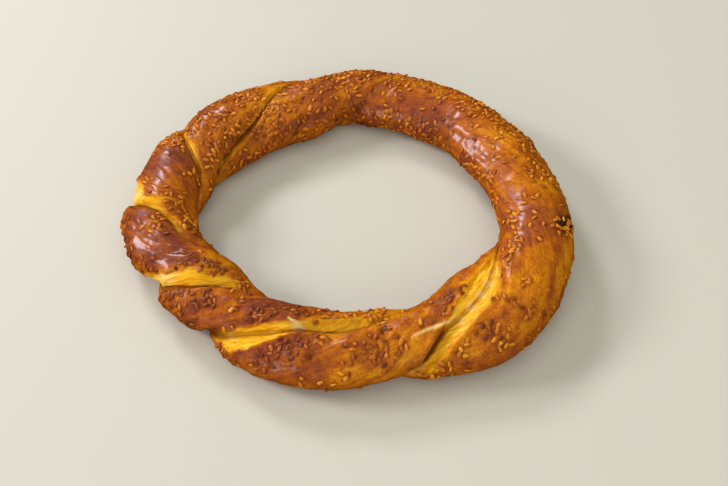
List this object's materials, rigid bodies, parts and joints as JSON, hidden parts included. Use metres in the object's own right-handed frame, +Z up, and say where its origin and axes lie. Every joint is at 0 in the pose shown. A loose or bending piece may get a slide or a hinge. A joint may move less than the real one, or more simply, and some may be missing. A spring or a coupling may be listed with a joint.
{
  "type": "simit",
  "caption": "Ring-shaped twisted sesame bread, baked in one piece, with a large open middle and a flat underside.",
  "frame": {"origin": "centre of the ring's bounding box, on the surface that it rests on", "axes": "+Z up through the open middle of the ring as it lies flat; +X towards the side where the ropes wind slowest; +Y towards the far side"},
  "size_m": [0.179, 0.1636, 0.0236],
  "materials": {
    "crust": "satin",
    "sesame": "satin"
  },
  "bodies": {
    "root": {"simit_ring": "crust"}
  },
  "joints": []
}
